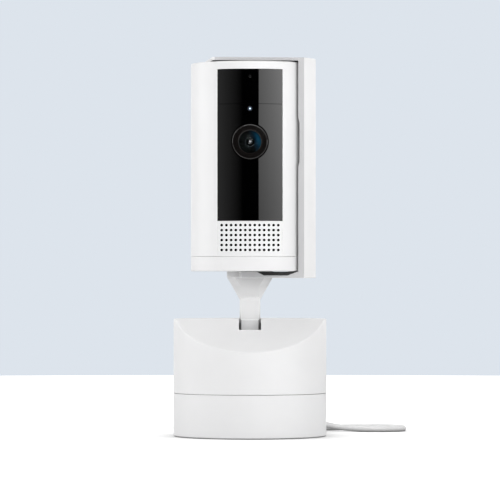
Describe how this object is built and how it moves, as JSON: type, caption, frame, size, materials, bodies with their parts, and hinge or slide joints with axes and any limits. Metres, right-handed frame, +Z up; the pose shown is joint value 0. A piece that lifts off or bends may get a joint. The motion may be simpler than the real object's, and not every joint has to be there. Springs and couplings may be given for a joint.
{
  "type": "security camera",
  "caption": "Indoor pan and tilt camera with an upright round head, a glossy window, a speaker grille, a swivel privacy cover and a round base.",
  "frame": {"origin": "centre of the foot ring's underside, on the pan axis", "axes": "+Z up along the pan axis, -Y towards the front of the camera, +X to the viewer's right"},
  "size_m": [0.109, 0.1412, 0.1724],
  "materials": {
    "white_plastic": "fine satin moulded plastic",
    "cover_plastic": "fine satin moulded plastic, greyer on its cut edges",
    "grey_plastic": "moulded plastic",
    "dark_plastic": "moulded plastic",
    "bezel_plastic": "satin black ring",
    "black_gloss": "polished black, infrared clear",
    "pupil_glass": "polished black inner lens",
    "gear_plastic": "natural acetal",
    "black_rubber": "matt rubber",
    "white_rubber": "soft moulded",
    "white_cord": "smooth cable jacket",
    "dark_cloth": "woven",
    "speaker_cloth": "fine black mesh",
    "circuit_board": "solder mask",
    "steel": "plain",
    "plated_steel": "nickel plated",
    "ring_metal": "satin",
    "aluminium": "extruded",
    "lens_glass": "coated lens glass",
    "coated_glass": "teal coating",
    "led_lens": "tinted lens",
    "status_lens": "lit lens"
  },
  "bodies": {
    "base": {"base_shell": "white_plastic", "base_floor": "grey_plastic", "foot_ring": "black_rubber", "ballast_weight": "steel", "power_board": "circuit_board", "switch_board": "circuit_board", "base_screws": "steel", "pan_gear": "gear_plastic", "pan_bearing": "gear_plastic", "pan_clip": "steel", "cord_boot": "white_rubber", "power_cord": "white_cord", "cord_coil": "white_cord", "coil_tie": "dark_cloth", "usb_plug_body": "white_rubber", "usb_plug_shell": "plated_steel"},
    "setup_button": {"setup_button": "grey_plastic"},
    "pan_head": {"pan_housing": "white_plastic", "turntable": "grey_plastic", "pan_screws": "steel", "pan_motor": "steel", "motor_screws": "steel", "tilt_frame": "white_plastic", "tilt_bushes": "gear_plastic", "tilt_motor": "steel", "drive_board": "circuit_board"},
    "pan_pinion": {"pan_pinion": "gear_plastic"},
    "tilt_pinion": {"tilt_pinion": "gear_plastic"},
    "camera_head": {"tilt_arm": "white_plastic", "tilt_shaft": "steel", "shaft_clips": "steel", "tilt_gear": "gear_plastic", "arm_screws": "steel", "bottom_cap": "white_plastic", "head_screws": "steel", "body_shell": "white_plastic", "window_upper": "black_gloss", "window_lower": "black_gloss", "grille_panel": "white_plastic", "grille_cloth": "speaker_cloth", "speaker": "dark_plastic", "inner_frame": "dark_plastic", "lens_bezel": "bezel_plastic", "lens_barrel": "dark_plastic", "front_lens": "lens_glass", "lens_cup": "coated_glass", "aperture_ring": "ring_metal", "inner_lens": "pupil_glass", "sensor_board": "circuit_board", "infrared_board": "circuit_board", "infrared_leds": "led_lens", "status_light": "status_lens", "microphone": "dark_plastic", "main_board": "circuit_board", "heat_spreader": "aluminium", "wifi_antenna": "circuit_board", "cover_bush": "gear_plastic"},
    "privacy_cover": {"privacy_cover": "cover_plastic", "cover_pad": "black_rubber", "cover_screw": "steel"}
  },
  "joints": [
    {"name": "pan", "type": "hinge", "parent": "base", "child": "pan_head", "pos_m": [0, 0, 0.02], "axis": [0, 0, 1], "range_deg": [-175, 175]},
    {"name": "tilt", "type": "hinge", "parent": "pan_head", "child": "camera_head", "pos_m": [0, 0, 0.042], "axis": [1, 0, 0], "range_deg": [-30, 45]},
    {"name": "cover_swing", "type": "hinge", "parent": "camera_head", "child": "privacy_cover", "pos_m": [0, 0, 0.17], "axis": [0, 0, 1], "range_deg": [-96, 84]},
    {"name": "pan_drive", "type": "hinge", "parent": "pan_head", "child": "pan_pinion", "pos_m": [-0.01299, 0.0075, 0.026], "axis": [0, 0, 1], "range_deg": [-530, 530]},
    {"name": "tilt_drive", "type": "hinge", "parent": "pan_head", "child": "tilt_pinion", "pos_m": [0.003, 0.00902, 0.03298], "axis": [1, 0, 0], "range_deg": [-110, 75]},
    {"name": "button_press", "type": "slide", "parent": "base", "child": "setup_button", "axis": [0, -1, 0], "range_m": [0, 0.0005], "stiffness_N_per_m": 600, "springref_m": -0.0008}
  ],
  "couplings": [
    {"joint": "pan_drive", "follows": "pan", "ratio": 3},
    {"joint": "tilt_drive", "follows": "tilt", "ratio": -2.4}
  ]
}
